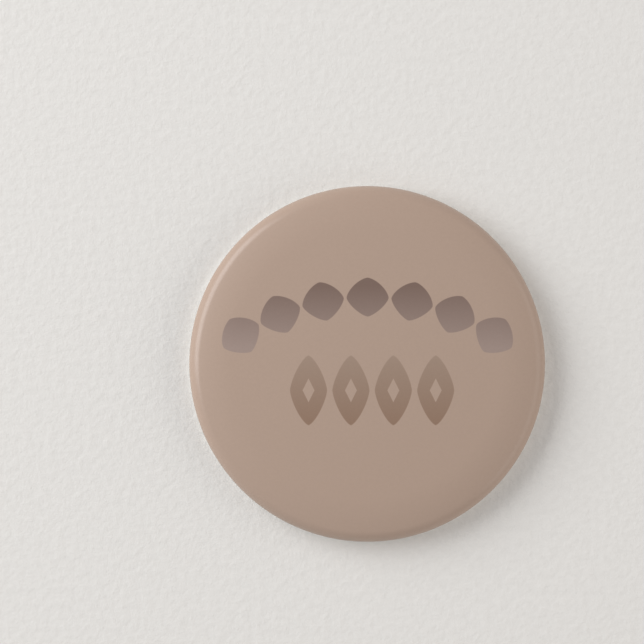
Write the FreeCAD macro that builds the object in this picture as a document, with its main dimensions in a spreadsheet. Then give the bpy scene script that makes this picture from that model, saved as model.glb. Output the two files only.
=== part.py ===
import FreeCAD, Part
import math
import os
import Sketcher

# A 57 mm pin-back button badge, lying face up.
# Origin: middle of the badge, on the plane that its back rim rests on. +Z is out of the printed
# face, +X runs along the pin from its spring loop to its catch. Millimetres and degrees.

# Driving sizes: alias, value, what it is.
SIZES = [
    ("badge_diameter", 57.2, "over the wrapped edge"),
    ("face_height", 5.9, "rest plane to the top of the face"),
    ("dome_radius", 320.0, "of the nearly flat middle of the face"),
    ("haunch_width", 5.3, "of the band that bends more than the middle"),
    ("haunch_radius", 25.0, "of that band"),
    ("shoulder_width", 1.8, "of the round edge, seen from above"),
    ("film_thickness", 0.08, "clear film"),
    ("paper_thickness", 0.12, "printed paper"),
    ("shell_thickness", 0.25, "front tinplate"),
    ("curl_radius", 0.65, "outside of the edge curled under the badge"),
    ("curl_lift", 0.12, "lowest point of the curled edge over the rest plane"),
    ("back_thickness", 0.25, "back tinplate"),
    ("flange_height", 1.2, "underside of the trapped flange"),
    ("flange_bend", 0.05, "inside radius where the flange turns out"),
    ("flange_clearance", 0.05, "flange to the inside of the front shell"),
    ("rim_gap", 0.08, "bead to the curled edge"),
    ("bead_bend", 0.10, "inside radius of the bead's two corners"),
    ("bead_flat", 0.14, "flat that the badge rests on"),
    ("groove_radius", 0.13, "groove inside the bead"),
    ("groove_bend", 0.05, "inside radius between land and groove"),
    ("land_width", 0.67, "narrow ring inside the groove"),
    ("land_height", 0.62, "that ring over the rest plane"),
    ("land_bend", 0.4, "inside radius between slope and ring"),
    ("slope_width", 4.75, "of the polished slope round the floor"),
    ("floor_bend", 0.8, "inside radius between floor and slope"),
    ("recess_depth", 3.1, "rest plane to the floor"),
    ("slot_row", 7.85, "middle of the slots from the middle of the badge"),
    ("slot_length", 7.2, "end to end"),
    ("slot_width", 3.6, "across"),
    ("slot_margin", 1.45, "slot's outer end to the edge of the floor"),
    ("slot_clearance", 0.05, "wire to the edge of its slot"),
    ("wire_diameter", 0.85, "spring wire"),
    ("root_bend", 0.9, "middle of the wire where it leans over the pin"),
    ("leg_bend", 0.6, "middle of the wire at its square bends behind the floor"),
    ("leg_clearance", 0.1, "hidden leg to the back of the floor"),
    ("hook_span", 3.9, "between the catch's two prongs, middle to middle"),
    ("hook_shift", 0.65, "catch to the middle of its slot, towards the loop"),
    ("hook_reach", 2.8, "root bend to the closed end of the catch"),
    ("hook_tilt", 11.0, "the catch leans away from the floor by this angle"),
    ("hook_gap", 0.12, "pin to the catch over it"),
    ("tail_length", 1.6, "bent-over end of the wire, behind the floor"),
    ("side_clearance", 0.08, "pin to the roots of the catch"),
    ("catch_margin", 0.16, "lowest point of the catch over the rest plane"),
    ("pin_taper", 4.5, "ground length of the point"),
    ("point_radius", 0.04, "blunt end of the point"),
    ("point_setback", 0.1, "point to the outer prong"),
    ("pivot_shift", 0.3, "pivot beyond the middle of the loop's slot"),
    ("pivot_gap", 0.05, "pin's round end to the spring loop"),
    ("loop_stub", 0.4, "straight start of the spring loop"),
]

# Sizes that follow from the driving ones: name, kind of property, expression.
LAYOUT = [
    ("badge_radius", "Float", "dims.badge_diameter / 2"),
    ("wire_radius", "Float", "dims.wire_diameter / 2"),
    # The face, from the middle outwards: dome, haunch, shoulder, straight side, curl.
    ("film_depth", "Float", "dims.film_thickness"),
    ("paper_depth", "Float", "film_depth + dims.paper_thickness"),
    ("shell_depth", "Float", "paper_depth + dims.shell_thickness"),
    ("dome_reach", "Float", "badge_radius - dims.shoulder_width - dims.haunch_width"),
    ("dome_sine", "Float", "dome_reach / dims.dome_radius"),
    ("haunch_sine", "Float", "dome_sine + dims.haunch_width / dims.haunch_radius"),
    ("dome_angle", "Angle", "asin(dome_sine)"),
    ("haunch_angle", "Angle", "asin(haunch_sine) - dome_angle"),
    ("shoulder_angle", "Angle", "90deg - asin(haunch_sine)"),
    ("shoulder_radius", "Float", "dims.shoulder_width / (1 - haunch_sine)"),
    ("dome_drop", "Float", "dims.dome_radius * (1 - cos(asin(dome_sine)))"),
    ("haunch_drop", "Float",
     "dims.haunch_radius * (cos(asin(dome_sine)) - cos(asin(haunch_sine)))"),
    ("shoulder_drop", "Float", "shoulder_radius * cos(asin(haunch_sine))"),
    ("curl_height", "Float", "dims.curl_lift + dims.curl_radius"),
    ("side_length", "Float",
     "dims.face_height - dome_drop - haunch_drop - shoulder_drop - curl_height"),
    ("tuck_length", "Float", "dims.flange_height - curl_height"),
    # The back, from the curled edge inwards: bead, groove, ring, slope, floor.
    ("flange_radius", "Float", "badge_radius - shell_depth - dims.flange_clearance"),
    ("bead_outside", "Float", "badge_radius - 2 * dims.curl_radius - dims.rim_gap"),
    ("bead_corner", "Float", "dims.bead_bend + dims.back_thickness"),
    ("bead_inside", "Float", "bead_outside - 2 * bead_corner - dims.bead_flat"),
    ("ring_outside", "Float", "bead_inside - 2 * dims.groove_radius"),
    ("floor_radius", "Float", "ring_outside - dims.land_width - dims.slope_width"),
    ("slope_rise", "Float", "dims.recess_depth - dims.land_height"),
    ("slope_angle", "Angle", "atan(slope_rise / dims.slope_width)"),
    ("floor_tangent", "Float", "dims.floor_bend * tan(slope_angle / 2)"),
    ("ring_tangent", "Float",
     "(dims.land_bend + dims.back_thickness) * tan(slope_angle / 2)"),
    ("groove_corner", "Float", "dims.groove_bend + dims.back_thickness"),
    ("groove_height", "Float", "dims.land_height + groove_corner"),
    # The wire: slots, catch, pin and spring loop.
    ("slot_place", "Float",
     "sqrt(pow(floor_radius; 2) - pow(dims.slot_row; 2)) - dims.slot_margin"
     " - dims.slot_length / 2"),
    ("slot_straight", "Float", "dims.slot_length - dims.slot_width"),
    ("hook_place", "Float", "slot_place - dims.hook_shift"),
    ("inner_prong", "Float", "hook_place - dims.hook_span / 2"),
    ("outer_prong", "Float", "hook_place + dims.hook_span / 2"),
    ("prong_offset", "Float", "slot_place - slot_straight / 2 - inner_prong"),
    ("prong_reach", "Float", "dims.slot_width / 2 - dims.slot_clearance - wire_radius"),
    ("root_row", "Float",
     "dims.slot_row + sqrt(pow(prong_reach; 2) - pow(prong_offset; 2))"),
    ("pin_row", "Float", "root_row - dims.wire_diameter - dims.side_clearance"),
    ("hook_level", "Float",
     "dims.catch_margin + wire_radius + dims.hook_reach * tan(dims.hook_tilt * 1deg)"),
    ("pin_level", "Float", "hook_level + dims.wire_diameter + dims.hook_gap"),
    ("leg_level", "Float",
     "dims.recess_depth + dims.back_thickness + dims.leg_clearance + wire_radius"),
    ("pivot_place", "Float", "-slot_place - dims.pivot_shift"),
    ("pin_length", "Float", "outer_prong - dims.point_setback - pivot_place"),
]


def make_dims(doc):
    """Write the driving sizes into the spreadsheet, one alias a row."""
    dims = doc.addObject("Spreadsheet::Sheet", "dims")
    for row, (alias, value, meaning) in enumerate(SIZES, start=1):
        dims.set(f"A{row}", str(value))
        dims.setAlias(f"A{row}", alias)
        dims.set(f"B{row}", meaning)
    doc.recompute()
    return dims


def make_layout(doc):
    """Keep the sizes that follow from the driving ones, each as an expression."""
    layout = doc.addObject("App::VarSet", "layout")
    for name, kind, expression in LAYOUT:
        layout.addProperty(f"App::Property{kind}", name)
        layout.setExpression(name, expression)
    doc.recompute()
    return layout


def origin_plane(body, role):
    """Return the body's own origin plane of that role."""
    return next(plane for plane in body.Origin.OriginFeatures if plane.Role == role)


def new_sketch(body, name, role):
    """Add a sketch to the body, on one of the body's own origin planes."""
    sketch = body.newObject("Sketcher::SketchObject", name)
    sketch.AttachmentSupport = [(origin_plane(body, role), "")]
    sketch.MapMode = "FlatFace"
    return sketch


def number(dims, expression):
    """Work an expression out to a plain number."""
    result = dims.evalExpression(expression)
    return float(getattr(result, "Value", result))


def tie(sketch, constraint, expression):
    """Add a constraint and bind its value to an expression."""
    index = sketch.addConstraint(constraint)
    sketch.setExpression(f"Constraints[{index}]", expression)


class Chain:
    """Lines and arcs in a sketch that leave the vertical axis level, each tangent to the last."""

    def __init__(self, dims, sketch, height):
        self.dims = dims
        self.sketch = sketch
        self.height = height
        self.place = FreeCAD.Vector(0, number(dims, height), 0)
        self.heading = 0.0
        self.last = None

    def join(self, index, entry, leave):
        """Tie the new piece's entry to the axis or to the piece before it."""
        if self.last is None:
            self.first = (index, entry)
            self.sketch.addConstraint(Sketcher.Constraint("PointOnObject", index, entry, -2))
            value = number(self.dims, self.height)
            height = Sketcher.Constraint("DistanceY", -1, 1, index, entry, value)
            tie(self.sketch, height, self.height)
        else:
            before, end = self.last
            self.sketch.addConstraint(Sketcher.Constraint("Tangent", before, end, index, entry))
        self.last = (index, leave)

    def line(self, length):
        """Draw a straight piece of that length."""
        value = number(self.dims, length)
        step = FreeCAD.Vector(math.cos(self.heading), math.sin(self.heading), 0) * value
        index = self.sketch.addGeometry(Part.LineSegment(self.place, self.place + step))
        starts = self.last is None
        self.join(index, 1, 2)
        if starts:
            self.sketch.addConstraint(Sketcher.Constraint("Horizontal", index))
        tie(self.sketch, Sketcher.Constraint("Distance", index, value), length)
        self.place = self.place + step

    def arc(self, radius, turn, left):
        """Draw an arc of that radius that turns left or right through the angle."""
        value = number(self.dims, radius)
        angle = math.radians(number(self.dims, turn))
        side = 1 if left else -1
        towards = self.heading + side * math.pi / 2
        centre = self.place + FreeCAD.Vector(math.cos(towards), math.sin(towards), 0) * value
        start = towards + math.pi
        end = start + side * angle
        low, high = min(start, end), max(start, end)
        circle = Part.Circle(centre, FreeCAD.Vector(0, 0, 1), value)
        index = self.sketch.addGeometry(Part.ArcOfCircle(circle, low, high))
        starts = self.last is None
        if left:
            self.join(index, 1, 2)
        else:
            self.join(index, 2, 1)
        if starts:
            self.sketch.addConstraint(Sketcher.Constraint("PointOnObject", index, 3, -2))
        tie(self.sketch, Sketcher.Constraint("Radius", index, value), radius)
        tie(self.sketch, Sketcher.Constraint("Angle", index, angle), turn)
        self.place = centre + FreeCAD.Vector(math.cos(end), math.sin(end), 0) * value
        self.heading += side * angle


def draw_sheet_section(dims, sketch, height, thickness, steps):
    """Draw the section of a pressed sheet: its under and upper side, closed at both ends.

    A step is ("line", length) or ("left" or "right", inside radius, angle). The under side
    starts on the axis at the height, and the upper side runs parallel to it.
    """
    sides = []
    for extra in ("0", thickness):
        chain = Chain(dims, sketch, f"{height} + {extra}")
        for step in steps:
            if step[0] == "line":
                chain.line(step[1])
                continue
            left = step[0] == "left"
            outside = left == (extra == "0")
            radius = f"{step[1]} + {thickness}" if outside else step[1]
            chain.arc(radius, step[2], left)
        sides.append(chain)
    under, upper = sides
    corners = ((under.first, upper.first), (under.last, upper.last))
    for start, end in corners:
        places = [sketch.getPoint(*start), sketch.getPoint(*end)]
        index = sketch.addGeometry(Part.LineSegment(*places))
        sketch.addConstraint(Sketcher.Constraint("Coincident", index, 1, *start))
        sketch.addConstraint(Sketcher.Constraint("Coincident", index, 2, *end))


def revolve(body, sketch, axis):
    """Turn the sketch a full turn about one of its axes."""
    turned = body.newObject("PartDesign::Revolution", f"{body.Name}_turned")
    turned.Profile = sketch
    turned.ReferenceAxis = (sketch, [axis])
    turned.Angle = 360
    sketch.Visibility = False
    return turned


def make_skin(doc, dims, label, depth, thickness):
    """Make one layer of the face: film, paper or front shell.

    The three layers are parallel, wrap the same edge and end level under the back's flange.
    Depth is from the face to the layer's inner side.
    """
    body = doc.addObject("PartDesign::Body", label)
    sketch = new_sketch(body, f"{label}_section", "XZ_Plane")
    steps = [
        ("right", f"dims.dome_radius - {depth}", "layout.dome_angle"),
        ("right", f"dims.haunch_radius - {depth}", "layout.haunch_angle"),
        ("right", f"layout.shoulder_radius - {depth}", "layout.shoulder_angle"),
        ("line", "layout.side_length"),
        ("right", f"dims.curl_radius - {depth}", "180deg"),
        ("line", "layout.tuck_length"),
    ]
    draw_sheet_section(dims, sketch, f"dims.face_height - {depth}", thickness, steps)
    revolve(body, sketch, "V_Axis")
    return body


def draw_slot(dims, sketch):
    """Draw the obround slot beside the catch, long way along the pin."""
    place = number(dims, "layout.slot_place")
    half = number(dims, "layout.slot_straight / 2")
    row = number(dims, "dims.slot_row")
    radius = number(dims, "dims.slot_width / 2")
    axis = FreeCAD.Vector(0, 0, 1)
    ends = []
    for side, start in ((1, -math.pi / 2), (-1, math.pi / 2)):
        centre = FreeCAD.Vector(place + side * half, row, 0)
        circle = Part.Circle(centre, axis, radius)
        ends.append(sketch.addGeometry(Part.ArcOfCircle(circle, start, start + math.pi)))
    outer, inner = ends
    for start, end in ((outer, inner), (inner, outer)):
        places = [sketch.getPoint(start, 2), sketch.getPoint(end, 1)]
        edge = sketch.addGeometry(Part.LineSegment(*places))
        sketch.addConstraint(Sketcher.Constraint("Tangent", start, 2, edge, 1))
        sketch.addConstraint(Sketcher.Constraint("Tangent", edge, 2, end, 1))
        if start == outer:
            sketch.addConstraint(Sketcher.Constraint("Horizontal", edge))
    tie(sketch, Sketcher.Constraint("Radius", outer, radius), "dims.slot_width / 2")
    tie(sketch, Sketcher.Constraint("DistanceX", -1, 1, outer, 3, place + half),
        "layout.slot_place + layout.slot_straight / 2")
    tie(sketch, Sketcher.Constraint("DistanceX", -1, 1, inner, 3, place - half),
        "layout.slot_place - layout.slot_straight / 2")
    tie(sketch, Sketcher.Constraint("DistanceY", -1, 1, outer, 3, row), "dims.slot_row")


def make_back_shell(doc, dims):
    """Make the back: dished floor with two slots, slope, ring, groove, bead and flange."""
    body = doc.addObject("PartDesign::Body", "back_shell")
    section = new_sketch(body, "back_shell_section", "XZ_Plane")
    bends = "(dims.floor_bend + dims.land_bend + dims.back_thickness)"
    steps = [
        ("line", "layout.floor_radius - layout.floor_tangent"),
        ("right", "dims.floor_bend", "layout.slope_angle"),
        ("line", "dims.slope_width / cos(layout.slope_angle)"
                 f" - {bends} * tan(layout.slope_angle / 2)"),
        ("left", "dims.land_bend", "layout.slope_angle"),
        ("line", "dims.land_width - layout.ring_tangent - layout.groove_corner"),
        ("left", "dims.groove_bend", "90deg"),
        ("right", "dims.groove_radius", "180deg"),
        ("line", "layout.groove_height - layout.bead_corner"),
        ("left", "dims.bead_bend", "90deg"),
        ("line", "dims.bead_flat"),
        ("left", "dims.bead_bend", "90deg"),
        ("line", "dims.flange_height - dims.flange_bend - layout.bead_corner"),
        ("right", "dims.flange_bend", "90deg"),
        ("line", "layout.flange_radius - layout.bead_outside - dims.flange_bend"),
    ]
    draw_sheet_section(dims, section, "dims.recess_depth", "dims.back_thickness", steps)
    dish = revolve(body, section, "V_Axis")
    doc.recompute()
    whole = dish.Shape.Volume

    outline = new_sketch(body, "slot_outline", "XY_Plane")
    draw_slot(dims, outline)
    slot = body.newObject("PartDesign::Pocket", "catch_slot")
    slot.Profile = outline
    slot.Type = 1
    slot.Midplane = True
    outline.Visibility = False
    doc.recompute()

    both = body.newObject("PartDesign::Mirrored", "loop_slot")
    both.Originals = [slot]
    both.MirrorPlane = (outline, ["V_Axis"])
    body.Tip = both
    doc.recompute()
    radius = number(dims, "dims.slot_width / 2")
    straight = number(dims, "layout.slot_straight")
    area = math.pi * radius**2 + 2 * radius * straight
    cut = 2 * area * number(dims, "dims.back_thickness")
    if abs(whole - body.Shape.Volume - cut) > 0.01 * cut:
        raise RuntimeError("the slots did not cut the floor")
    return body


class Route:
    """A bent wire's middle line: straight runs and arcs, each tangent to the last."""

    def __init__(self, place, heading):
        self.place = place
        self.heading = heading
        self.edges = []

    def run(self, length):
        """Go straight on."""
        end = self.place + self.heading * length
        self.edges.append(Part.LineSegment(self.place, end).toShape())
        self.place = end

    def bend(self, radius, turn, towards):
        """Turn through the angle, towards a direction that is square to the heading."""
        centre = self.place + towards * radius

        def on_arc(angle):
            return centre - towards * radius * math.cos(angle) \
                + self.heading * radius * math.sin(angle)

        angle = math.radians(turn)
        arc = Part.Arc(self.place, on_arc(angle / 2), on_arc(angle))
        self.edges.append(arc.toShape())
        self.place = on_arc(angle)
        self.heading = self.heading * math.cos(angle) + towards * math.sin(angle)


def catch_route(dims):
    """Follow the fixed wire: spring loop, hidden leg, catch and bent-over end."""

    def size(name):
        return number(dims, name)

    east = FreeCAD.Vector(1, 0, 0)
    north = FreeCAD.Vector(0, 1, 0)
    up = FreeCAD.Vector(0, 0, 1)
    pin_row = size("layout.pin_row")
    root_row = size("layout.root_row")
    pin_level = size("layout.pin_level")
    leg_level = size("layout.leg_level")
    root_bend = size("dims.root_bend")
    leg_bend = size("dims.leg_bend")
    tilt = size("dims.hook_tilt")
    hook_radius = size("dims.hook_span") / 2
    prong_run = size("dims.hook_reach") / math.cos(math.radians(tilt)) - hook_radius
    root_turn = 90 - tilt
    root_drop = root_bend * math.sin(math.radians(root_turn))
    root_run = leg_level - leg_bend - root_drop - size("layout.hook_level")

    start_place = size("layout.pivot_place - layout.wire_radius - dims.pivot_gap")
    route = Route(FreeCAD.Vector(start_place, pin_row, pin_level), -east)
    route.run(size("dims.loop_stub"))
    across = FreeCAD.Vector(0, root_row - pin_row, leg_level - pin_level)
    route.bend(across.Length / 2, 180, FreeCAD.Vector(across).normalize())
    route.run(size("layout.inner_prong") - leg_bend - route.place.x)
    route.bend(leg_bend, 90, -up)
    route.run(root_run)
    route.bend(root_bend, root_turn, -north)
    route.run(prong_run)
    route.bend(hook_radius, 180, east)
    route.run(prong_run)
    route.bend(root_bend, root_turn, east.cross(route.heading))
    route.run(root_run)
    route.bend(leg_bend, 90, north)
    route.run(size("dims.tail_length"))
    return route.edges


def make_catch_wire(doc, dims):
    """Sweep the fixed part of the spring wire along its bent route."""
    edges = catch_route(dims)
    route = doc.addObject("Part::Feature", "catch_route")
    route.Shape = Part.Wire(edges)
    section = doc.addObject("Part::Circle", "catch_section")
    section.setExpression("Radius", "layout.wire_radius")
    start = edges[0]
    turn = FreeCAD.Rotation(FreeCAD.Vector(0, 0, 1), start.tangentAt(start.FirstParameter))
    section.Placement = FreeCAD.Placement(start.Vertexes[0].Point, turn)
    wire = doc.addObject("Part::Sweep", "catch_wire")
    wire.Sections = [section]
    wire.Spine = (route, [f"Edge{index + 1}" for index in range(len(edges))])
    wire.Solid = True
    wire.Transition = "Transformed"
    doc.recompute()
    length = sum(edge.Length for edge in edges)
    expected = math.pi * number(dims, "layout.wire_radius") ** 2 * length
    if abs(wire.Shape.Volume - expected) > 0.01 * expected:
        raise RuntimeError("the catch wire's volume isn't its section times its length")
    return wire


def make_pin(doc, dims):
    """Turn the pin: round end at the pivot, straight leg and ground point."""
    body = doc.addObject("PartDesign::Body", "pin")
    sketch = new_sketch(body, "pin_section", "XZ_Plane")
    radius = number(dims, "layout.wire_radius")
    length = number(dims, "layout.pin_length")
    taper = number(dims, "dims.pin_taper")
    blunt = number(dims, "dims.point_radius")
    circle = Part.Circle(FreeCAD.Vector(0, 0, 0), FreeCAD.Vector(0, 0, 1), radius)
    end = sketch.addGeometry(Part.ArcOfCircle(circle, math.pi / 2, math.pi))
    corners = [(0, radius), (length - taper, radius), (length, blunt), (length, 0), (-radius, 0)]
    places = [FreeCAD.Vector(across, up, 0) for across, up in corners]
    pairs = zip(places, places[1:])
    leg, point, face, axis = [sketch.addGeometry(Part.LineSegment(*pair)) for pair in pairs]
    sketch.addConstraint(Sketcher.Constraint("Coincident", end, 3, -1, 1))
    sketch.addConstraint(Sketcher.Constraint("Tangent", end, 1, leg, 1))
    sketch.addConstraint(Sketcher.Constraint("Horizontal", leg))
    sketch.addConstraint(Sketcher.Constraint("Coincident", leg, 2, point, 1))
    sketch.addConstraint(Sketcher.Constraint("Coincident", point, 2, face, 1))
    sketch.addConstraint(Sketcher.Constraint("Vertical", face))
    sketch.addConstraint(Sketcher.Constraint("Coincident", face, 2, axis, 1))
    sketch.addConstraint(Sketcher.Constraint("Coincident", axis, 2, end, 2))
    sketch.addConstraint(Sketcher.Constraint("PointOnObject", face, 2, -1))
    sketch.addConstraint(Sketcher.Constraint("PointOnObject", end, 2, -1))
    tie(sketch, Sketcher.Constraint("Radius", end, radius), "layout.wire_radius")
    tie(sketch, Sketcher.Constraint("Distance", leg, length - taper),
        "layout.pin_length - dims.pin_taper")
    tie(sketch, Sketcher.Constraint("Distance", face, blunt), "dims.point_radius")
    tie(sketch, Sketcher.Constraint("DistanceX", -1, 1, face, 2, length), "layout.pin_length")
    revolve(body, sketch, "H_Axis")
    body.setExpression("Placement.Base.x", "layout.pivot_place")
    body.setExpression("Placement.Base.y", "layout.pin_row")
    body.setExpression("Placement.Base.z", "layout.pin_level")
    return body


def check(doc, parts):
    """Stop if any object failed or any piece isn't one valid solid."""
    for item in doc.Objects:
        if "Invalid" in item.State or "Error" in item.State:
            raise RuntimeError(f"{item.Name} failed: {item.State}")
    for part in parts:
        shape = part.Shape
        if shape.isNull() or not shape.isValid() or len(shape.Solids) != 1:
            raise RuntimeError(f"{part.Label} isn't one valid solid")


def write(parts):
    """Write each piece to its own STEP file, named after its label."""
    os.makedirs("parts", exist_ok=True)
    for part in parts:
        part.Shape.exportStep(f"parts/{part.Label}.step")
        box = part.Shape.optimalBoundingBox()
        print(f"{part.Label}: {part.Shape.Volume:.2f} mm3, "
              f"x {box.XMin:.3f} {box.XMax:.3f}, y {box.YMin:.3f} {box.YMax:.3f}, "
              f"z {box.ZMin:.3f} {box.ZMax:.3f}")


def main():
    doc = FreeCAD.newDocument("button_badge")
    dims = make_dims(doc)
    layout = make_layout(doc)
    parts = [
        make_skin(doc, dims, "film_cover", "layout.film_depth", "dims.film_thickness"),
        make_skin(doc, dims, "printed_paper", "layout.paper_depth", "dims.paper_thickness"),
        make_skin(doc, dims, "front_shell", "layout.shell_depth", "dims.shell_thickness"),
        make_back_shell(doc, dims),
        make_catch_wire(doc, dims),
        make_pin(doc, dims),
    ]
    doc.recompute()
    check(doc, parts)
    write(parts)
    print(f"pivot {layout.pivot_place:.4f} {layout.pin_row:.4f} {layout.pin_level:.4f}, "
          f"pin length {layout.pin_length:.3f}, floor radius {layout.floor_radius:.3f}")


main()
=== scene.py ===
import math

import bmesh
import bpy
import numpy as np
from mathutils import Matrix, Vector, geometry


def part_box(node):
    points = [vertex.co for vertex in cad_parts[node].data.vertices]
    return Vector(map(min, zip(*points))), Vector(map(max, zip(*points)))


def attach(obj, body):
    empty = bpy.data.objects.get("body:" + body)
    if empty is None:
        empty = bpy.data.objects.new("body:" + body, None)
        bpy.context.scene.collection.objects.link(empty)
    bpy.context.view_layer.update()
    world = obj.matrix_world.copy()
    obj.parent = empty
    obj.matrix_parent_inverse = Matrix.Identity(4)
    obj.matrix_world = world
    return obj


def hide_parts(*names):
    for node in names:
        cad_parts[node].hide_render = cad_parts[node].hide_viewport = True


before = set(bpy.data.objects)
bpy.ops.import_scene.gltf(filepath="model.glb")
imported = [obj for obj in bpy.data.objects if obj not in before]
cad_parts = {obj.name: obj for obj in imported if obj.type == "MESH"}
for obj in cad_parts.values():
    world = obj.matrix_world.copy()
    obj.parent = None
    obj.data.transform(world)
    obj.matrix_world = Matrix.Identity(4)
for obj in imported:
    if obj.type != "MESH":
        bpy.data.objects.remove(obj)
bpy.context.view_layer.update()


# ---------------------------------------------------------------- front shell
# A cap of tinplate a quarter of a millimetre thick, drawn in a press from a flat disc.
# Its dome stretches the paper and film, and its skirt is curled under to grip the back.
TO_METRES = 0.001
AROUND = 240
FACE_HEIGHT = 5.9
DOME_RADIUS, DOME_TURN = 320.0, 3.852
HAUNCH_RADIUS, HAUNCH_TURN = 25.0, 12.359
SHOULDER_RADIUS, SHOULDER_TURN = 2.497, 73.789
SIDE_LENGTH = 1.071
CURL_RADIUS = 0.65
TUCK_LENGTH = 0.43
FILM_THICKNESS, PAPER_THICKNESS, SHELL_THICKNESS = 0.08, 0.12, 0.25


def walk(start, steps):
    """Follow lines and arcs in the (radius, height) plane, each tangent to the last.

    A step is (length, 0, pieces) or (radius, turn in degrees, pieces), left turns positive.
    A line is place + direction * distance. An arc is its centre minus the radius vector,
    turned through equal parts of the angle. Returns the points and their left-hand normals.
    """
    place, heading = complex(*start), 0.0
    points, headings = [np.array([place])], [np.array([heading])]
    for size, turn, pieces in steps:
        part = np.arange(1, pieces + 1) / pieces
        angles = heading + math.radians(turn) * part
        if turn:
            arm = 1j * math.copysign(size, turn)
            centre = place + arm * np.exp(1j * heading)
            points.append(centre - arm * np.exp(1j * angles))
        else:
            points.append(place + np.exp(1j * heading) * size * part)
        headings.append(angles)
        place, heading = points[-1][-1], angles[-1]
    return np.concatenate(points), 1j * np.exp(1j * np.concatenate(headings))


def ring_faces(rings, around):
    """Four-sided faces that join each ring of points to the next, all the way round."""
    row = np.arange(rings - 1)[:, None] * around
    here, after = np.arange(around), (np.arange(around) + 1) % around
    return np.stack([row + here, row + around + here, row + around + after,
                     row + after], axis=-1).reshape(-1, 4).tolist()


def turn_round(outline):
    """Turn an outline about the vertical axis: (r, z) goes to (r cos a, r sin a, z).

    The outline leaves the axis or an inner edge on the upper side and comes back on the under
    side. Points on the axis are repeated, and make_piece merges them.
    """
    angle = 2 * np.pi * np.arange(AROUND) / AROUND
    radius, height = outline.real[:, None], outline.imag[:, None]
    grid = np.stack([radius * np.cos(angle), radius * np.sin(angle),
                     height + 0 * angle], axis=-1).reshape(-1, 3)
    return grid, ring_faces(len(outline), AROUND)


def make_piece(name, patches, crease=35.0):
    """Join patches of vertices and faces into one closed piece, with its doubles merged."""
    shape = bmesh.new()
    mesh = bpy.data.meshes.new(name)
    first, vertices, faces = 0, [], []
    for grid, patch in patches:
        vertices.append(grid)
        faces += [[first + corner for corner in face] for face in patch]
        first += len(grid)
    mesh.from_pydata(np.concatenate(vertices) * TO_METRES, [], faces)
    shape.from_mesh(mesh)
    bmesh.ops.remove_doubles(shape, verts=shape.verts, dist=1e-7)
    bmesh.ops.dissolve_degenerate(shape, edges=shape.edges, dist=1e-8)
    bmesh.ops.recalc_face_normals(shape, faces=shape.faces)
    shape.to_mesh(mesh)
    shape.free()
    mesh.shade_smooth()
    mesh.set_sharp_from_angle(angle=math.radians(crease))
    piece = bpy.data.objects.new(name, mesh)
    bpy.context.collection.objects.link(piece)
    return piece


def pressed_skin(name, depth, thickness):
    """One layer of the face: the inner side is a path depth under the face, the outer side
    runs parallel to it at the thickness, and a cut edge closes them."""
    inner, normals = walk((0, FACE_HEIGHT - depth), [
        (DOME_RADIUS - depth, -DOME_TURN, 24),
        (HAUNCH_RADIUS - depth, -HAUNCH_TURN, 20),
        (SHOULDER_RADIUS - depth, -SHOULDER_TURN, 28),
        (SIDE_LENGTH, 0, 3),
        (CURL_RADIUS - depth, -180, 28),
        (TUCK_LENGTH, 0, 2),
    ])
    outer = inner + thickness * normals
    return make_piece(name, [turn_round(np.concatenate([outer, inner[::-1]]))])


def linear(code):
    """Turn an sRGB hex value into linear red, green, blue and alpha."""
    part = np.array([int(code[place:place + 2], 16) for place in (1, 3, 5)]) / 255
    return (*np.where(part <= 0.04045, part / 12.92, ((part + 0.055) / 1.055) ** 2.4), 1.0)


def add(tree, kind, settings, sockets):
    """Add a node with its settings, and fill or link its input sockets."""
    node = tree.nodes.new(kind)
    for key, value in settings.items():
        setattr(node, key, value)
    for key, value in sockets.items():
        if isinstance(value, bpy.types.NodeSocket):
            tree.links.new(value, node.inputs[key])
        else:
            node.inputs[key].default_value = value
    return node


def new_material(name):
    """Start a material and return it with its tree, shader and object coordinates."""
    material = bpy.data.materials.new(name)
    material.use_nodes = True
    tree = material.node_tree
    place = add(tree, "ShaderNodeTexCoord", {}, {}).outputs["Object"]
    return material, tree, tree.nodes["Principled BSDF"], place


def rolled_tinplate(name, light, dark, rough):
    """Cold-rolled steel with a bright tin coat. Rolling leaves fine parallel streaks along Y,
    about 0.2 mm wide and several millimetres long, in both its gloss and its tone."""
    material, tree, shader, place = new_material(name)
    streaks = add(tree, "ShaderNodeMapping", {}, {
        "Vector": place, "Scale": (1000 / 0.2, 1000 / 7.0, 1000 / 0.2)})
    grain = add(tree, "ShaderNodeTexNoise", {}, {
        "Vector": streaks.outputs[0], "Scale": 1.0, "Detail": 4.0}).outputs[0]
    tone = add(tree, "ShaderNodeMix", {"data_type": "RGBA"}, {
        0: grain, 6: linear(dark), 7: linear(light)}).outputs[2]
    gloss = add(tree, "ShaderNodeMapRange", {}, {
        "Value": grain, "From Min": 0.3, "From Max": 0.7,
        "To Min": rough[0], "To Max": rough[1]}).outputs[0]
    relief = add(tree, "ShaderNodeBump", {}, {
        "Height": grain, "Strength": 0.25, "Distance": 0.00001}).outputs[0]
    shader.inputs["Metallic"].default_value = 1.0
    for socket, value in (("Base Color", tone), ("Roughness", gloss), ("Normal", relief)):
        tree.links.new(value, shader.inputs[socket])
    return material, tree, shader, place, gloss, tone


SHELL_DEPTH = FILM_THICKNESS + PAPER_THICKNESS + SHELL_THICKNESS
front_shell = pressed_skin("front_cap", SHELL_DEPTH, SHELL_THICKNESS)
front_shell.data.materials.append(
    rolled_tinplate("shell_tinplate", "#d2d2d4", "#b2b3b7", (0.22, 0.36))[0])
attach(front_shell, "badge")
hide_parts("front_shell")


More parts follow.
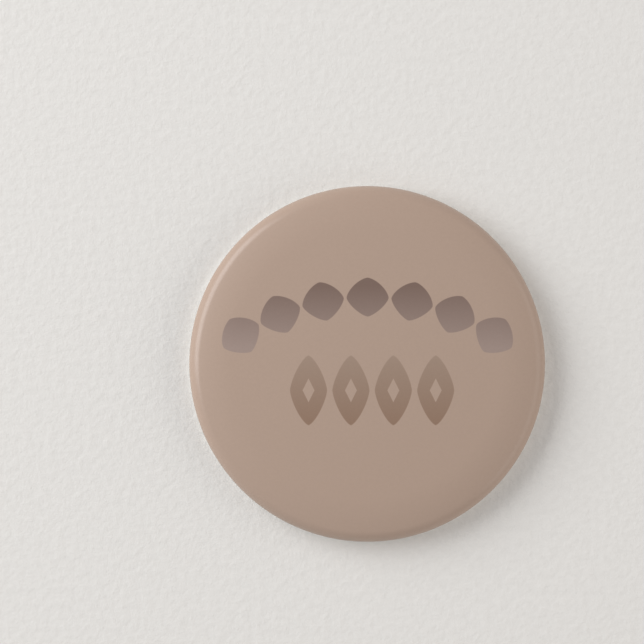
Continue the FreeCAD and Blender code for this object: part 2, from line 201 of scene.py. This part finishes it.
# -------------------------------------------------------------- printed paper
# A disc of smooth coated printing paper, laid over the shell and wrapped with it.
# White stock: the print stops low on the side, and the margin that wraps under is bare.
printed_paper = pressed_skin("paper_disc", FILM_THICKNESS + PAPER_THICKNESS, PAPER_THICKNESS)
paper, tree, shader, place = new_material("coated_paper")
# Fibres about 0.3 mm long show as faint cloudy mottling.
fibres = add(tree, "ShaderNodeTexNoise", {}, {
    "Vector": place, "Scale": 1000 / 0.3, "Detail": 5.0, "Roughness": 0.65}).outputs[0]
stock = add(tree, "ShaderNodeMix", {"data_type": "RGBA"}, {
    0: fibres, 6: linear("#e9e7e1"), 7: linear("#f8f7f3")}).outputs[2]
tooth = add(tree, "ShaderNodeBump", {}, {
    "Height": fibres, "Strength": 0.3, "Distance": 0.00002}).outputs[0]
tree.links.new(stock, shader.inputs["Base Color"])
tree.links.new(tooth, shader.inputs["Normal"])
shader.inputs["Roughness"].default_value = 0.6
printed_paper.data.materials.append(paper)
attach(printed_paper, "badge")
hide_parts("printed_paper")


# ----------------------------------------------------------------- clear film
# A thin clear polyester film stretched over the paper, with a satin gloss.
# Film and ink are seen as one surface: the ink is its base colour and the film its clear coat.
film = pressed_skin("film_face", FILM_THICKNESS, FILM_THICKNESS)
laminated, tree, shader, place = new_material("polyester_film_over_print")


def lozenge(along, up, half_width, half_height, power):
    """Ink where |along / half width|^power + |up / half height|^power is under one.

    The edge fades over a few hundredths of the size, as printed dots do."""
    sides = []
    for value, half in ((along, half_width), (up, half_height)):
        share = add(tree, "ShaderNodeMath", {"operation": "DIVIDE"}, {0: value, 1: half})
        size = add(tree, "ShaderNodeMath", {"operation": "ABSOLUTE"}, {0: share.outputs[0]})
        sides.append(add(tree, "ShaderNodeMath", {"operation": "POWER"}, {
            0: size.outputs[0], 1: power}).outputs[0])
    total = add(tree, "ShaderNodeMath", {"operation": "ADD"}, dict(enumerate(sides)))
    return add(tree, "ShaderNodeMapRange", {}, {
        "Value": total.outputs[0], "From Min": 1.02, "From Max": 0.98}).outputs[0]


def steps_along(run, pitch, count):
    """Cut a run, counted from its middle, into equal steps.

    The first result is the distance from the nearest step's middle, which is the run plus
    half of all the steps, wrapped to one pitch, less half a pitch. The second is one within
    the steps and nought past them."""
    shifted = add(tree, "ShaderNodeMath", {"operation": "ADD"}, {0: run, 1: pitch * count / 2})
    wrapped = add(tree, "ShaderNodeMath", {"operation": "WRAP"}, {
        0: shifted.outputs[0], 1: pitch, 2: 0.0})
    nearest = add(tree, "ShaderNodeMath", {"operation": "SUBTRACT"}, {
        0: wrapped.outputs[0], 1: pitch / 2})
    size = add(tree, "ShaderNodeMath", {"operation": "ABSOLUTE"}, {0: run})
    within = add(tree, "ShaderNodeMath", {"operation": "LESS_THAN"}, {
        0: size.outputs[0], 1: pitch * count / 2})
    return nearest.outputs[0], within.outputs[0]


# The ornament: seven fat lozenges on an arch, over a row of four tall lozenges, each with
# a diamond left open in its middle. Its inks fade from top to bottom. A lozenge's numbers
# are its half width, half height and power, and a fade's are its two heights on the face.
ARCH_RADIUS, ARCH_CENTRE, ARCH_PITCH, ARCH_COUNT = 36.6, -25.9, 7.15, 7
ARCH_LOZENGE, ARCH_FADE = (3.35, 3.1, 1.45), (2.5, 12.5)
arch = add(tree, "ShaderNodeMapping", {}, {
    "Vector": place, "Location": (0, -ARCH_CENTRE, 0), "Scale": (1000, 1000, 0)}).outputs[0]
arch_sides = add(tree, "ShaderNodeSeparateXYZ", {}, {0: arch}).outputs
arch_turn = add(tree, "ShaderNodeMath", {"operation": "ARCTAN2"}, {
    0: arch_sides["X"], 1: arch_sides["Y"]}).outputs[0]
arch_run = add(tree, "ShaderNodeMath", {"operation": "MULTIPLY"}, {
    0: arch_turn, 1: ARCH_RADIUS}).outputs[0]
from_centre = add(tree, "ShaderNodeVectorMath", {"operation": "LENGTH"}, {0: arch})
arch_rise = add(tree, "ShaderNodeMath", {"operation": "SUBTRACT"}, {
    0: from_centre.outputs["Value"], 1: ARCH_RADIUS}).outputs[0]
arch_place, arch_within = steps_along(arch_run, ARCH_PITCH, ARCH_COUNT)
arch_ink = add(tree, "ShaderNodeMath", {"operation": "MULTIPLY"}, {
    0: lozenge(arch_place, arch_rise, *ARCH_LOZENGE), 1: arch_within}).outputs[0]

ROW_PITCH, ROW_MIDDLE, ROW_HEIGHT, ROW_COUNT = 6.75, 0.72, -4.15, 4
ROW_LOZENGE, ROW_DIAMOND, ROW_FADE = (2.95, 5.55, 1.4), (0.95, 1.9, 1.0), (-9.9, 1.3)
row = add(tree, "ShaderNodeMapping", {}, {
    "Vector": place, "Location": (-ROW_MIDDLE, -ROW_HEIGHT, 0), "Scale": (1000, 1000, 0)})
row_sides = add(tree, "ShaderNodeSeparateXYZ", {}, {0: row.outputs[0]}).outputs
row_place, row_within = steps_along(row_sides["X"], ROW_PITCH, ROW_COUNT)
row_open = add(tree, "ShaderNodeMath", {"operation": "SUBTRACT"}, {
    0: 1.0, 1: lozenge(row_place, row_sides["Y"], *ROW_DIAMOND)}).outputs[0]
row_full = add(tree, "ShaderNodeMath", {"operation": "MULTIPLY"}, {
    0: lozenge(row_place, row_sides["Y"], *ROW_LOZENGE), 1: row_within}).outputs[0]
row_ink = add(tree, "ShaderNodeMath", {"operation": "MULTIPLY"}, {
    0: row_full, 1: row_open}).outputs[0]

millimetres = add(tree, "ShaderNodeVectorMath", {"operation": "SCALE"}, {
    0: place, "Scale": 1000.0}).outputs[0]
across = add(tree, "ShaderNodeSeparateXYZ", {}, {0: millimetres}).outputs
printed = linear("#b09989")
for ink, fade, low, high in ((row_ink, ROW_FADE, "#8f7461", "#9f8979"),
                             (arch_ink, ARCH_FADE, "#9e8b82", "#7a655b")):
    amount = add(tree, "ShaderNodeMapRange", {}, {
        "Value": across["Y"], "From Min": fade[0], "From Max": fade[1]}).outputs[0]
    colour = add(tree, "ShaderNodeMix", {"data_type": "RGBA"}, {
        0: amount, 6: linear(low), 7: linear(high)}).outputs[2]
    printed = add(tree, "ShaderNodeMix", {"data_type": "RGBA"}, {
        0: ink, 6: printed, 7: colour}).outputs[2]

# A faint mottle of the print, in patches of about 0.4 mm.
mottle = add(tree, "ShaderNodeTexNoise", {}, {
    "Vector": place, "Scale": 1000 / 0.4, "Detail": 4.0}).outputs[0]
shading = add(tree, "ShaderNodeMapRange", {}, {
    "Value": mottle, "From Min": 0.3, "From Max": 0.7,
    "To Min": 0.985, "To Max": 1.015}).outputs[0]
inked = add(tree, "ShaderNodeVectorMath", {"operation": "SCALE"}, {
    0: printed, "Scale": shading}).outputs[0]
# The print stops low on the side, and the margin that wraps under is white paper. The paper
# stretches unevenly, so that border wanders by a twentieth of a millimetre.
PRINT_WANDER, PRINT_EDGE = 0.1, (0.84, 0.88)
wander = add(tree, "ShaderNodeTexNoise", {}, {
    "Vector": place, "Scale": 1000 / 5.0, "Detail": 2.0}).outputs[0]
border = add(tree, "ShaderNodeMath", {"operation": "MULTIPLY_ADD"}, {
    0: wander, 1: PRINT_WANDER, 2: across["Z"]}).outputs[0]
printed_side = add(tree, "ShaderNodeMapRange", {}, {
    "Value": border, "From Min": PRINT_EDGE[0], "From Max": PRINT_EDGE[1]}).outputs[0]
surface = add(tree, "ShaderNodeMix", {"data_type": "RGBA"}, {
    0: printed_side, 6: linear("#f4f3ef"), 7: inked}).outputs[2]
tree.links.new(surface, shader.inputs["Base Color"])
# Stretching leaves the film very slightly uneven, over one or two millimetres.
ripple = add(tree, "ShaderNodeTexNoise", {}, {
    "Vector": place, "Scale": 1000 / 1.6, "Detail": 3.0}).outputs[0]
gloss = add(tree, "ShaderNodeMapRange", {}, {
    "Value": ripple, "From Min": 0.3, "From Max": 0.7,
    "To Min": 0.48, "To Max": 0.56}).outputs[0]
relief = add(tree, "ShaderNodeBump", {}, {
    "Height": ripple, "Strength": 0.12, "Distance": 0.00003}).outputs[0]
tree.links.new(gloss, shader.inputs["Roughness"])
tree.links.new(relief, shader.inputs["Normal"])
tree.links.new(relief, shader.inputs["Coat Normal"])
shader.inputs["IOR"].default_value = 1.5
shader.inputs["Specular IOR Level"].default_value = 0.15
shader.inputs["Coat Weight"].default_value = 0.5
shader.inputs["Coat Roughness"].default_value = 0.26
shader.inputs["Coat IOR"].default_value = 1.57
film.data.materials.append(laminated)
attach(film, "badge")
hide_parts("film_cover")


# ----------------------------------------------------------------- back shell
# A tinplate disc pressed into a dish: flat floor, polished slope, narrow ring, groove and bead.
# Its flange is trapped inside the curled edge, and two slots are punched for the wire.
RECESS_DEPTH, BACK_THICKNESS = 3.1, 0.25
FLOOR_RADIUS, SLOPE_WIDTH, SLOPE_TURN = 20.70, 4.75, 27.568
FLOOR_BEND, LAND_BEND, LAND_WIDTH = 0.8, 0.4, 0.67
GROOVE_RADIUS, GROOVE_BEND, LAND_HEIGHT = 0.13, 0.05, 0.62
BEAD_BEND, BEAD_FLAT = 0.10, 0.14
FLANGE_HEIGHT, FLANGE_BEND, FLANGE_LENGTH = 1.2, 0.05, 0.83
SLOT_PLACE, SLOT_ROW, SLOT_STRAIGHT, SLOT_HALF = 14.104, 7.85, 3.6, 1.8
SLOT_ROLL, SLOT_BAND, SLOT_END_POINTS = 0.06, 0.12, 25
FLOOR_BAND = 0.3

half_turn = math.tan(math.radians(SLOPE_TURN / 2))
land_radius = LAND_BEND + BACK_THICKNESS
groove_corner = GROOVE_BEND + BACK_THICKNESS
bead_corner = BEAD_BEND + BACK_THICKNESS
floor_edge = FLOOR_RADIUS - FLOOR_BEND * half_turn
slope_run = (SLOPE_WIDTH / math.cos(math.radians(SLOPE_TURN))
             - (FLOOR_BEND + land_radius) * half_turn)
under, normals = walk((floor_edge, RECESS_DEPTH), [
    (FLOOR_BEND, -SLOPE_TURN, 10),
    (slope_run, 0, 8),
    (land_radius, SLOPE_TURN, 8),
    (LAND_WIDTH - land_radius * half_turn - groove_corner, 0, 2),
    (groove_corner, 90, 8),
    (GROOVE_RADIUS, -180, 14),
    (LAND_HEIGHT + groove_corner - bead_corner, 0, 2),
    (bead_corner, 90, 8),
    (BEAD_FLAT, 0, 1),
    (bead_corner, 90, 8),
    (FLANGE_HEIGHT - FLANGE_BEND - bead_corner, 0, 2),
    (FLANGE_BEND, -90, 6),
    (FLANGE_LENGTH, 0, 2),
])
upper = under + BACK_THICKNESS * normals
dish = turn_round(np.concatenate([upper, under[::-1]]))


def slot_edge(side, spread):
    """The outline of a slot: two half circles a straight apart, spread outwards."""
    turn = np.linspace(-np.pi / 2, np.pi / 2, SLOT_END_POINTS)
    angle = np.concatenate([turn, turn + np.pi])
    shift = np.repeat([SLOT_STRAIGHT / 2, -SLOT_STRAIGHT / 2], len(turn))
    radius = SLOT_HALF + spread
    return np.stack([side * SLOT_PLACE + shift + radius * np.cos(angle),
                     SLOT_ROW + radius * np.sin(angle)], axis=-1)


def slot_wall(side):
    """The punched wall of a slot: a profile of quarter arc, straight and quarter arc, carried
    round the slot's outline."""
    quarter = np.linspace(0, np.pi / 2, 5)
    spread = SLOT_ROLL * (1 - np.sin(quarter))
    rise = SLOT_ROLL * (1 - np.cos(quarter))
    spreads = np.concatenate([spread, spread[::-1]])
    levels = RECESS_DEPTH + np.concatenate([rise, BACK_THICKNESS - rise[::-1]])
    around = 2 * SLOT_END_POINTS
    rings = [np.column_stack([slot_edge(side, out), np.full(around, level)])
             for out, level in zip(spreads, levels)]
    return np.concatenate(rings), ring_faces(len(rings), around)


def floor_sides():
    """The flat floor's two sides: its outer circle and the slot outlines joined by flat
    triangles, with those inside a slot left out. A narrow band of even triangles runs along
    each edge. Middles of the ones to keep are a third of the band or more from the slot, so a
    sixth of it parts them from those inside."""
    angle = 2 * np.pi * np.arange(AROUND) / AROUND
    circle = np.stack([np.cos(angle), np.sin(angle)], axis=-1)
    loops = [circle * floor_edge, circle * (floor_edge - FLOOR_BAND)]
    loops += [slot_edge(side, SLOT_ROLL + more) for side in (1, -1) for more in (0.0, SLOT_BAND)]
    edges, first = [], 0
    for loop in loops:
        count = np.arange(len(loop))
        edges += np.stack([first + count, first + (count + 1) % len(loop)], axis=-1).tolist()
        first += len(loop)
    points = np.concatenate(loops)
    flat, _, faces, *_ = geometry.delaunay_2d_cdt(points.tolist(), edges, [], 0, 1e-6)
    flat, faces = np.array([tuple(point) for point in flat]), np.array(faces)
    middle = flat[faces].mean(axis=1)
    beyond = np.maximum(abs(abs(middle[:, 0]) - SLOT_PLACE) - SLOT_STRAIGHT / 2, 0)
    outside = np.hypot(beyond, middle[:, 1] - SLOT_ROW) > SLOT_HALF + SLOT_ROLL + SLOT_BAND / 6
    faces = faces[outside].tolist()
    return [(np.column_stack([flat, np.full(len(flat), level)]), faces)
            for level in (RECESS_DEPTH, RECESS_DEPTH + BACK_THICKNESS)]


back_shell = make_piece("back_dish", [dish, slot_wall(1), slot_wall(-1), *floor_sides()])
# The floor's tinplate tone is painted darker than bare tin, as a painted dark reflection, over
# its real rolling streaks.
tin, tree, shader, place, floor_gloss, floor_tone_painted_dark = rolled_tinplate(
    "back_tinplate", "#a6a7ab", "#848589", (0.26, 0.40))
# The die burnishes the slope, ring and bead, so they are smoother than the floor, with faint
# rings about 0.25 mm apart where the sheet was drawn over it. Their tin tone is brighter than
# the floor's, whose extra darkness is painted dark reflection.
radius = add(tree, "ShaderNodeVectorMath", {"operation": "LENGTH"}, {
    0: add(tree, "ShaderNodeMapping", {}, {
        "Vector": place, "Scale": (1000.0, 1000.0, 0.0)}).outputs[0]}).outputs["Value"]
drawn = add(tree, "ShaderNodeTexNoise", {"noise_dimensions": "1D"}, {
    "W": radius, "Scale": 4.0, "Detail": 3.0}).outputs[0]
slope_share = add(tree, "ShaderNodeMapRange", {}, {
    "Value": radius, "From Min": FLOOR_RADIUS - 0.3, "From Max": FLOOR_RADIUS + 0.2}).outputs[0]
slope_gloss = add(tree, "ShaderNodeMapRange", {}, {
    "Value": drawn, "From Min": 0.3, "From Max": 0.7, "To Min": 0.12, "To Max": 0.2}).outputs[0]
slope_tone = add(tree, "ShaderNodeMix", {"data_type": "RGBA"}, {
    0: drawn, 6: linear("#d6d7da"), 7: linear("#e6e6e7")}).outputs[2]
# Floor tone against slope tone: part of the floor's darkness here is painted reflection.
tree.links.new(add(tree, "ShaderNodeMix", {"data_type": "RGBA"}, {
    0: slope_share, 6: floor_tone_painted_dark, 7: slope_tone}).outputs[2], shader.inputs["Base Color"])
tree.links.new(add(tree, "ShaderNodeMix", {}, {
    0: slope_share, 2: floor_gloss, 3: slope_gloss}).outputs[0], shader.inputs["Roughness"])
back_shell.data.materials.append(tin)
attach(back_shell, "badge")
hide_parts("back_shell")


# ---------------------------------------------------------------- spring wire
# One length of nickel-plated spring steel wire. This fixed part is the spring loop, the leg
# behind the floor, the hairpin catch and the bent-over end. It clips into the two slots.
pin_low, pin_high = (np.array(corner) / TO_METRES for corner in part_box("pin"))
wire_high = np.array(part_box("catch_wire")[1]) / TO_METRES
WIRE_RADIUS = 0.425
SIDE_CLEARANCE, PIVOT_GAP, LOOP_STUB = 0.08, 0.05, 0.4
LEG_BEND, ROOT_BEND, HOOK_TILT = 0.6, 0.9, 11.0
HOOK_REACH, HOOK_SPAN, TAIL_LENGTH = 2.8, 3.9, 1.6
HOOK_LEVEL = 1.129
WIRE_SIDES, BEND_STEP, RUN_STEP = 28, 6.0, 1.5
EAST, NORTH, UP = np.eye(3)

pivot = np.array([pin_low[0] + WIRE_RADIUS, *(pin_low + pin_high)[1:] / 2])
leg_level = wire_high[2] - WIRE_RADIUS
outer_prong = wire_high[0] - WIRE_RADIUS


def bend_wire(start, heading, steps):
    """Follow runs and bends in space, each tangent to the last, with a side vector that
    turns with the wire and never twists about it.

    A run is place + heading * distance. A bend is centre - towards * radius * cos a
    + heading * radius * sin a, for equal parts of the angle a. In a bend the share of the
    side that leans towards the centre turns with the wire, and the rest stays."""
    place, side = start, np.cross(heading, UP)
    points, headings, sides = [start[None]], [heading[None]], [side[None]]
    for size, turn, towards in steps:
        if turn:
            part = np.linspace(0, 1, 3 + int(turn / BEND_STEP))[1:, None]
            angle = math.radians(turn) * part
            cos, sin = np.cos(angle), np.sin(angle)
            points.append(place + towards * size * (1 - cos) + heading * size * sin)
            lean = side @ towards
            headings.append(heading * cos + towards * sin)
            sides.append(side - towards * lean + (towards * cos - heading * sin) * lean)
        else:
            part = np.linspace(0, 1, 3 + int(size / RUN_STEP))[1:, None]
            points.append(place + heading * size * part)
            headings.append(heading + 0 * part)
            sides.append(side + 0 * part)
        place, heading, side = points[-1][-1], headings[-1][-1], sides[-1][-1]
    return np.concatenate(points), np.concatenate(headings), np.concatenate(sides)


def wire_piece(name, points, headings, sides, radii):
    """A round wire: circles of the given radii carried along the middle line. The first and
    last circles have no radius, which closes the ends."""
    angle = 2 * np.pi * np.arange(WIRE_SIDES) / WIRE_SIDES
    others = np.cross(headings, sides)
    rings = points[:, None] + radii[:, None, None] * (
        sides[:, None] * np.cos(angle)[:, None] + others[:, None] * np.sin(angle)[:, None])
    faces = ring_faces(len(points), WIRE_SIDES)
    return make_piece(name, [(rings.reshape(-1, 3), faces)], crease=60.0)


def cut_ends(points, headings, sides):
    """Close both ends of a wire as a shear leaves them: flat, with a slightly rounded rim."""
    rim = 0.06
    radii = np.full(len(points), WIRE_RADIUS)
    inset = points.copy()
    inset[0] += headings[0] * rim
    inset[-1] -= headings[-1] * rim
    order = np.concatenate([[0, 0], np.arange(len(points)), [-1, -1]])
    line = np.concatenate([points[[0, 0]], inset, points[[-1, -1]]])
    thin = WIRE_RADIUS - rim
    return line, headings[order], sides[order], np.concatenate([[0, thin], radii, [thin, 0]])


root_row = pivot[1] + 2 * WIRE_RADIUS + SIDE_CLEARANCE
loop_across = np.array([0, root_row - pivot[1], leg_level - pivot[2]])
loop_size = np.linalg.norm(loop_across)
hook_radius = HOOK_SPAN / 2
tilt = math.radians(HOOK_TILT)
root_turn = 90 - HOOK_TILT
prong_run = HOOK_REACH / math.cos(tilt) - hook_radius
root_run = leg_level - LEG_BEND - ROOT_BEND * math.cos(tilt) - HOOK_LEVEL
leg_start = pivot[0] - WIRE_RADIUS - PIVOT_GAP - LOOP_STUB
inner_prong = outer_prong - HOOK_SPAN
back_over = np.cross(EAST, NORTH * math.cos(tilt) + UP * math.sin(tilt))
route = bend_wire(np.array([leg_start + LOOP_STUB, pivot[1], pivot[2]]), -EAST, [
    (LOOP_STUB, 0, None),
    (loop_size / 2, 180, loop_across / loop_size),
    (inner_prong - LEG_BEND - leg_start, 0, None),
    (LEG_BEND, 90, -UP),
    (root_run, 0, None),
    (ROOT_BEND, root_turn, -NORTH),
    (prong_run, 0, None),
    (hook_radius, 180, EAST),
    (prong_run, 0, None),
    (ROOT_BEND, root_turn, back_over),
    (root_run, 0, None),
    (LEG_BEND, 90, NORTH),
    (TAIL_LENGTH, 0, None),
])
catch = wire_piece("wire_catch", *cut_ends(*route))


def nickel_wire(name):
    """Bright nickel over drawn spring steel. Drawing leaves hair-fine lines along the wire,
    here 0.1 mm apart, and handling leaves slightly duller patches of about a millimetre."""
    material, tree, shader, place = new_material(name)
    lines = add(tree, "ShaderNodeMapping", {}, {
        "Vector": place, "Scale": (1000 / 6.0, 1000 / 0.1, 1000 / 0.1)})
    drawn = add(tree, "ShaderNodeTexNoise", {}, {
        "Vector": lines.outputs[0], "Scale": 1.0, "Detail": 2.0}).outputs[0]
    worn = add(tree, "ShaderNodeTexNoise", {}, {
        "Vector": place, "Scale": 1000 / 1.2, "Detail": 4.0}).outputs[0]
    tone = add(tree, "ShaderNodeMix", {"data_type": "RGBA"}, {
        0: drawn, 6: linear("#cbc7c0"), 7: linear("#e0ddd7")}).outputs[2]
    gloss = add(tree, "ShaderNodeMapRange", {}, {
        "Value": worn, "From Min": 0.3, "From Max": 0.7, "To Min": 0.1, "To Max": 0.22})
    relief = add(tree, "ShaderNodeBump", {}, {
        "Height": drawn, "Strength": 0.15, "Distance": 0.00001}).outputs[0]
    shader.inputs["Metallic"].default_value = 1.0
    for socket, value in (("Base Color", tone), ("Roughness", gloss.outputs[0]),
                          ("Normal", relief)):
        tree.links.new(value, shader.inputs[socket])
    return material


nickel = nickel_wire("nickel_spring_wire")
catch.data.materials.append(nickel)
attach(catch, "badge")
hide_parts("catch_wire")


# ------------------------------------------------------------------------ pin
# The free end of the same wire: a straight leg ground to a point, which springs out at the
# loop and snaps under the catch.
PIN_TAPER, POINT_RADIUS = 4.5, 0.04
END_RINGS, LEG_RINGS, TAPER_RINGS = 9, 16, 14
pin_length = pin_high[0] - pivot[0]
quarter = np.linspace(0, np.pi / 2, END_RINGS)
leg = np.linspace(0, pin_length - PIN_TAPER, LEG_RINGS)[1:]
taper = np.linspace(pin_length - PIN_TAPER, pin_length - POINT_RADIUS, TAPER_RINGS)[1:]
along = np.concatenate([-WIRE_RADIUS * np.cos(quarter), leg, taper,
                        pin_length - POINT_RADIUS * (1 - np.sin(quarter[1:]))])
radii = np.concatenate([WIRE_RADIUS * np.sin(quarter), np.full(len(leg), WIRE_RADIUS),
                        np.linspace(WIRE_RADIUS, POINT_RADIUS, TAPER_RINGS)[1:],
                        POINT_RADIUS * np.cos(quarter[1:])])
spread = np.ones((len(along), 1))
pin = wire_piece("pin_leg", pivot + along[:, None] * EAST, spread * EAST, spread * NORTH, radii)
pin.data.materials.append(nickel)
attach(pin, "pin")
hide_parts("pin")


# ---------------------------------------------------------------------- stage
# A pale sheet of rough paper under the badge, soft light from the upper left, and a long lens
# looking straight down.
REACH = 2000.0
sheet_mesh = bpy.data.meshes.new("table")
corners = np.array([(-REACH, -REACH, 0), (REACH, -REACH, 0), (REACH, REACH, 0),
                    (-REACH, REACH, 0)]) * TO_METRES
sheet_mesh.from_pydata(corners, [], [(0, 1, 2, 3)])
table = bpy.data.objects.new("table", sheet_mesh)
bpy.context.collection.objects.link(table)
rough, tree, shader, place = new_material("rough_paper")
tooth = add(tree, "ShaderNodeTexNoise", {}, {
    "Vector": place, "Scale": 1000 / 1.3, "Detail": 4.0, "Roughness": 0.6}).outputs[0]
tree.links.new(add(tree, "ShaderNodeMix", {"data_type": "RGBA"}, {
    0: tooth, 6: linear("#dfddd9"), 7: linear("#eae8e4")}).outputs[2],
    shader.inputs["Base Color"])
tree.links.new(add(tree, "ShaderNodeBump", {}, {
    "Height": tooth, "Strength": 0.4, "Distance": 0.0004}).outputs[0], shader.inputs["Normal"])
shader.inputs["Roughness"].default_value = 0.9
shader.inputs["Specular IOR Level"].default_value = 0.2
table.data.materials.append(rough)


def softbox(name, azimuth, from_vertical, distance, width, height, energy, colour):
    """A lamp that faces the badge, from an azimuth and an angle from the vertical in degrees.
    Its distance, width and height are in metres, and its energy in watts."""
    lamp_data = bpy.data.lights.new(name, "AREA")
    lamp_data.shape = "RECTANGLE"
    lamp_data.size, lamp_data.size_y = width, height
    lamp_data.energy, lamp_data.color = energy, colour
    lamp = bpy.data.objects.new(name, lamp_data)
    around, lean = math.radians(azimuth), math.radians(from_vertical)
    lamp.location = (distance * math.sin(lean) * math.cos(around),
                     distance * math.sin(lean) * math.sin(around), distance * math.cos(lean))
    lamp.rotation_euler = (-lamp.location).to_track_quat("-Z", "Y").to_euler()
    bpy.context.collection.objects.link(lamp)


softbox("key_softbox", azimuth=156.0, from_vertical=61.0, distance=1.0,
        width=1.0, height=0.6, energy=9.9, colour=(0.99, 0.99, 1.0))
softbox("fill_panel", azimuth=-8.0, from_vertical=66.0, distance=1.0,
        width=1.5, height=0.66, energy=4.5, colour=(1.0, 0.9, 0.82))

world = bpy.data.worlds.new("studio")
world.use_nodes = True
world.node_tree.nodes["Background"].inputs["Color"].default_value = linear("#f3f4f6")
world.node_tree.nodes["Background"].inputs["Strength"].default_value = 0.47
bpy.context.scene.world = world
bpy.context.scene.view_settings.view_transform = "Standard"

# The view's width holds at the height of the face, and its middle is left of and above the badge.
VIEW_WIDTH, VIEW_X, VIEW_Y, LENS = 102.47, -7.26, 6.73, 135.0
camera_data = bpy.data.cameras.new("camera")
camera_data.lens = LENS
camera = bpy.data.objects.new("camera", camera_data)
camera.location = (VIEW_X * TO_METRES, VIEW_Y * TO_METRES,
                   VIEW_WIDTH * TO_METRES * LENS / camera_data.sensor_width
                   + FACE_HEIGHT * TO_METRES)
bpy.context.collection.objects.link(camera)
bpy.context.scene.camera = camera
